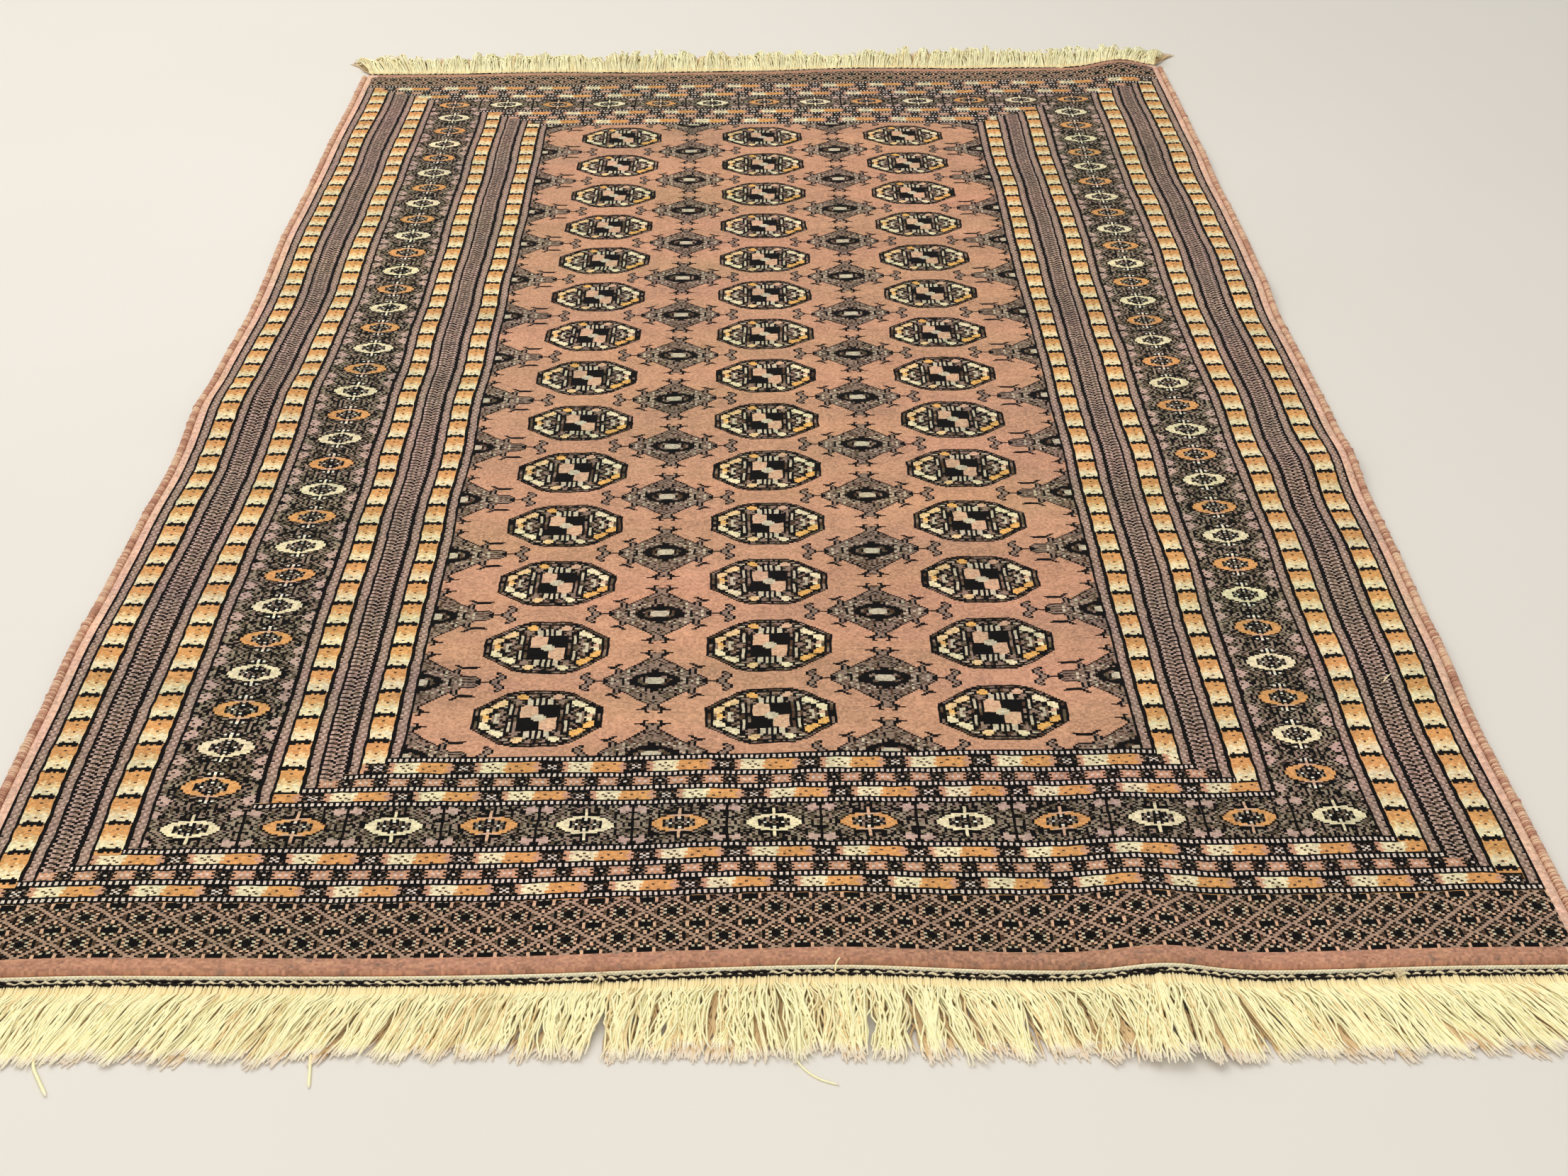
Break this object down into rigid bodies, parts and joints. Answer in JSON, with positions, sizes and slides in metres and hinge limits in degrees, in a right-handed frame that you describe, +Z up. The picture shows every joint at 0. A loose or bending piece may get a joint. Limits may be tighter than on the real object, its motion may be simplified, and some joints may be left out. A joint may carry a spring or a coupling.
{
  "type": "bokhara rug",
  "caption": "Rectangular hand-knotted wool rug lying flat on a floor, with a patterned pile, overcast sides, flat-woven end bands and cotton fringes.",
  "frame": {"origin": "middle of the rug's footprint, on the floor", "axes": "+Y runs along the rug to its far end, +X to its right side seen from the near end, +Z up out of the pile"},
  "size_m": [1.3062, 2.002, 0.0267],
  "materials": {
    "pile_wool": "soft short wool pile",
    "selvedge_wool": "wrapped wool yarn",
    "kelim_cotton": "flat-woven cotton",
    "twined_yarn": "two yarns twined, dark and cream",
    "fringe_cotton": "twisted cotton strands"
  },
  "bodies": {
    "root": {"pile_carpet": "pile_wool", "selvedge_left": "selvedge_wool", "selvedge_right": "selvedge_wool", "kelim_near": "kelim_cotton", "kelim_far": "kelim_cotton", "twined_line_near": "twined_yarn", "twined_line_far": "twined_yarn", "fringe_near": "fringe_cotton", "fringe_far": "fringe_cotton"}
  },
  "joints": []
}
